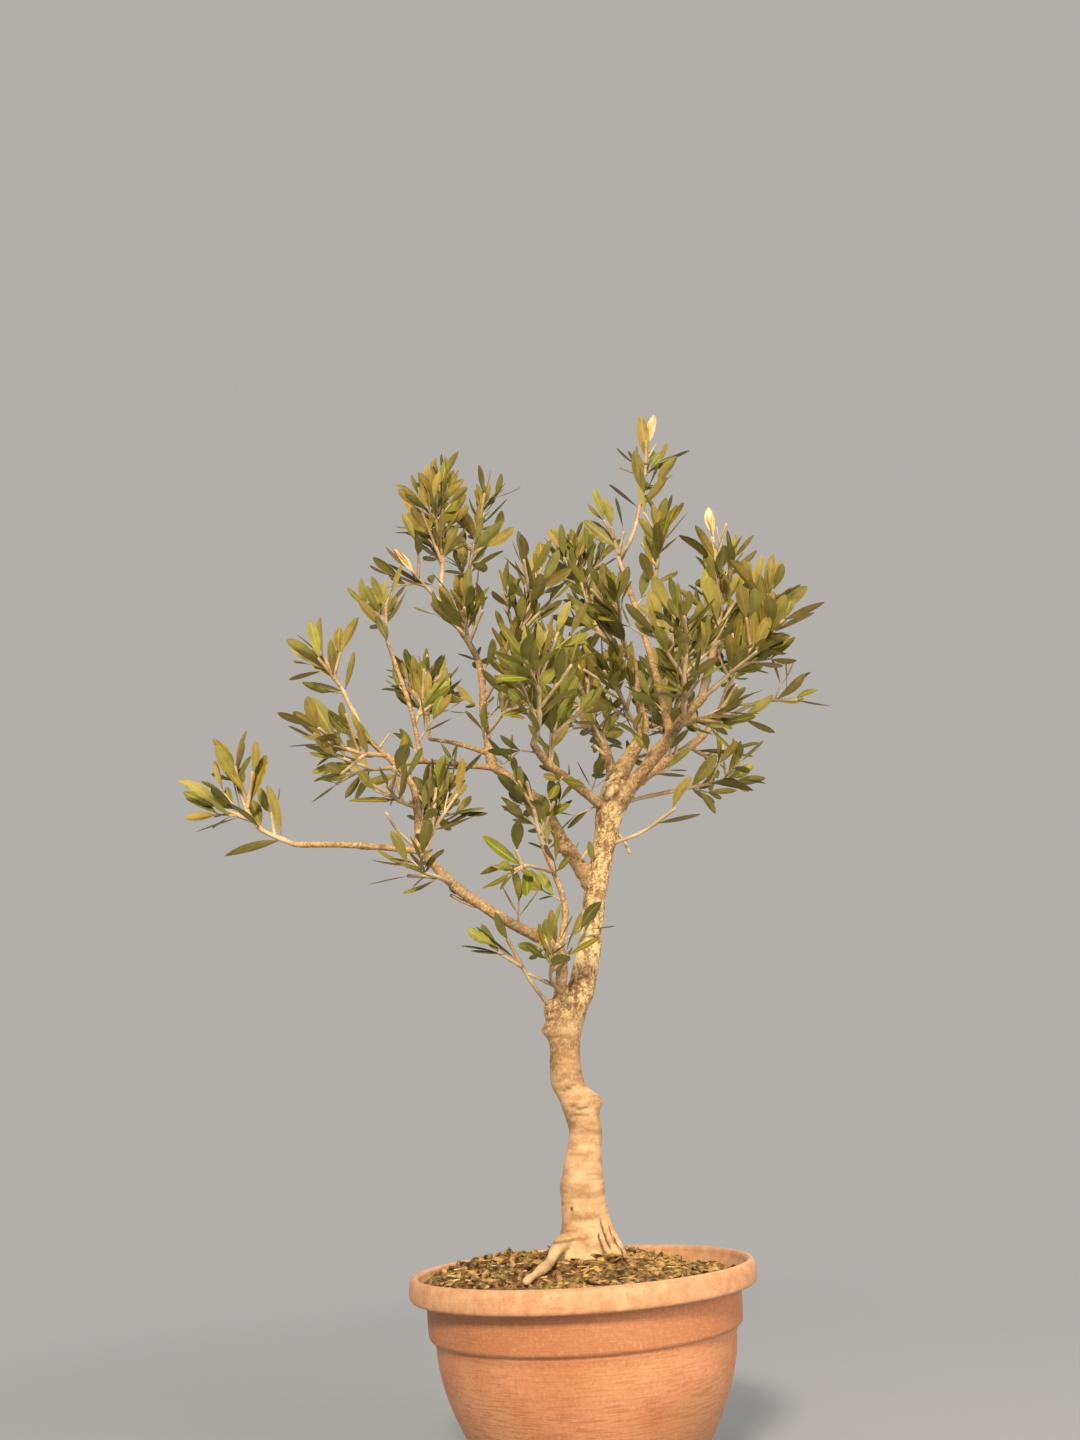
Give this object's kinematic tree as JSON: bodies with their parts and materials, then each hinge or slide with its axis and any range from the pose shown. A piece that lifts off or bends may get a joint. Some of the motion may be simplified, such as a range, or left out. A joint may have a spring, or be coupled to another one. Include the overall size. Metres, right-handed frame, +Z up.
{
  "type": "olive bonsai in a pot",
  "caption": "Small olive tree trained as a bonsai, with a knotted leaning trunk and open crown of leafy boughs, standing in a round bowl pot filled with soil.",
  "frame": {"origin": "centre of the pot's flat underside", "axes": "+Z up along the pot's axis; +X to the right and -Y towards the viewer of the tree's front, from which the low bough reaches out to the left"},
  "size_m": [0.3415, 0.2152, 0.5607],
  "materials": {
    "pot": "matte",
    "soil": "matte",
    "bark": "matte",
    "foliage": "satin"
  },
  "bodies": {
    "root": {"pot": "pot", "soil": "soil", "trunk": "bark", "low_left_bough": "bark", "left_arm": "bark", "left_riser": "bark", "inner_riser": "bark", "upper_left_bough": "bark", "upper_left_riser": "bark", "mid_left_bough": "bark", "mid_left_riser": "bark", "mid_left_twig": "bark", "front_bough": "bark", "back_left_bough": "bark", "back_riser": "bark", "right_bough": "bark", "back_right_bough": "bark", "top_riser": "bark", "far_left_leaves": "foliage", "left_tip_leaves": "foliage", "left_side_leaves": "foliage", "left_bend_leaves": "foliage", "left_inner_leaves": "foliage", "left_front_leaves": "foliage", "mid_left_leaves": "foliage", "mid_left_low_leaves": "foliage", "mid_left_end_leaves": "foliage", "left_back_leaves": "foliage", "crown_left_leaves": "foliage", "crown_left_low_leaves": "foliage", "crown_left_back_leaves": "foliage", "left_column_leaves": "foliage", "centre_high_leaves": "foliage", "inner_leaves": "foliage", "inner_front_leaves": "foliage", "low_leaves": "foliage", "low_shoot_leaves": "foliage", "front_leaves": "foliage", "front_side_leaves": "foliage", "back_left_leaves": "foliage", "back_low_leaves": "foliage", "centre_back_leaves": "foliage", "centre_leaves": "foliage", "top_leaves": "foliage", "top_left_leaves": "foliage", "top_right_leaves": "foliage", "right_inner_leaves": "foliage", "centre_low_leaves": "foliage", "right_front_leaves": "foliage", "right_mid_leaves": "foliage", "right_side_leaves": "foliage", "far_right_leaves": "foliage", "right_back_leaves": "foliage", "right_hanging_leaves": "foliage", "right_low_leaves": "foliage", "low_right_leaves": "foliage", "column_low_leaves": "foliage", "right_under_leaves": "foliage", "fork_leaves": "foliage", "back_right_inner_leaves": "foliage"}
  },
  "joints": []
}
